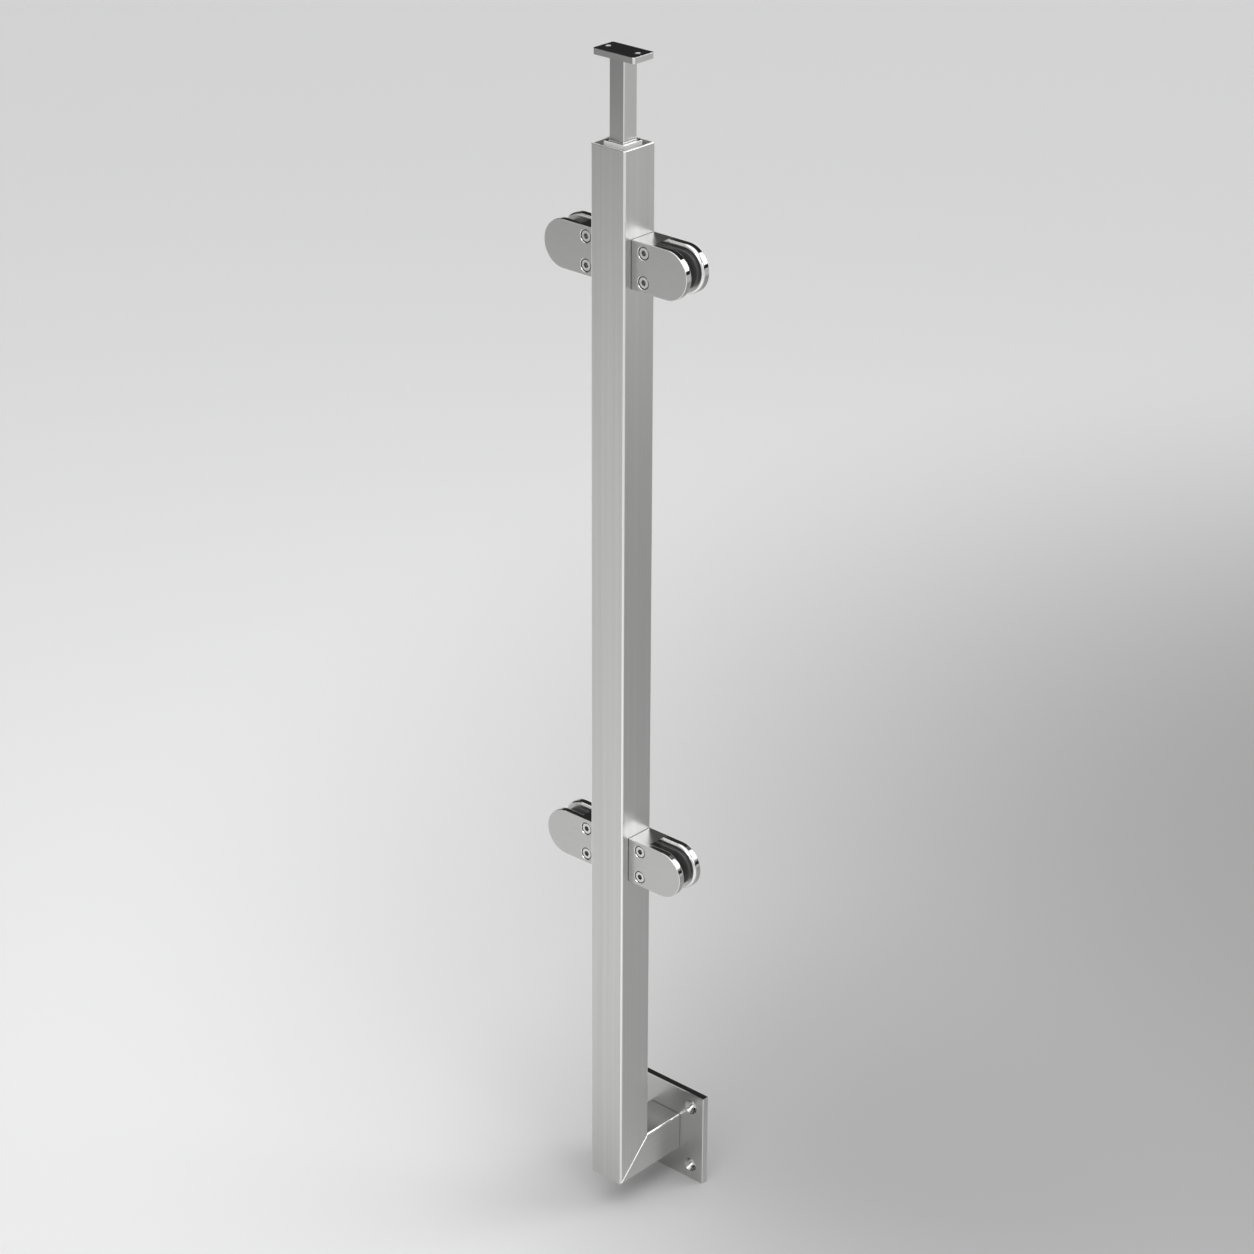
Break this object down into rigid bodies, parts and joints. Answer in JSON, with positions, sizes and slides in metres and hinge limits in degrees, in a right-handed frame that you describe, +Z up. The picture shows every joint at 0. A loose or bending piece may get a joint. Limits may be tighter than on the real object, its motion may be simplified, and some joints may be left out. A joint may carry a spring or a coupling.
{
  "type": "glass railing post",
  "caption": "Square glass railing post for side mounting, with a mitred arm on a wall plate, D-shaped glass clamps in pairs, and a stem with a flat plate for the handrail.",
  "frame": {"origin": "centre of the wall plate's back face, which is also the centre of its four holes", "axes": "X along the railing, +Y into the wall, +Z up along the post"},
  "size_m": [0.168, 0.095, 1.17],
  "materials": {
    "brushed_stainless": "stainless steel, brushed along the length of each piece",
    "clamp_stainless": "stainless steel, satin faces with polished edges",
    "fasteners": "bright stainless steel",
    "rubber": "matt black rubber"
  },
  "bodies": {
    "root": {"post_tube": "brushed_stainless", "arm_tube": "brushed_stainless", "wall_plate": "brushed_stainless", "rail_plug": "brushed_stainless", "rail_stem": "brushed_stainless", "rail_plate": "brushed_stainless", "stem_bolt": "fasteners", "upper_right_clamp_body": "clamp_stainless", "upper_right_clamp_cover": "clamp_stainless", "upper_right_front_gasket": "rubber", "upper_right_back_gasket": "rubber", "upper_right_cover_screws": "fasteners", "upper_right_post_bolt": "fasteners", "upper_right_rivet_nut": "fasteners", "upper_left_clamp_body": "clamp_stainless", "upper_left_clamp_cover": "clamp_stainless", "upper_left_front_gasket": "rubber", "upper_left_back_gasket": "rubber", "upper_left_cover_screws": "fasteners", "upper_left_post_bolt": "fasteners", "upper_left_rivet_nut": "fasteners", "lower_right_clamp_body": "clamp_stainless", "lower_right_clamp_cover": "clamp_stainless", "lower_right_front_gasket": "rubber", "lower_right_back_gasket": "rubber", "lower_right_cover_screws": "fasteners", "lower_right_post_bolt": "fasteners", "lower_right_rivet_nut": "fasteners", "lower_left_clamp_body": "clamp_stainless", "lower_left_clamp_cover": "clamp_stainless", "lower_left_front_gasket": "rubber", "lower_left_back_gasket": "rubber", "lower_left_cover_screws": "fasteners", "lower_left_post_bolt": "fasteners", "lower_left_rivet_nut": "fasteners"}
  },
  "joints": []
}
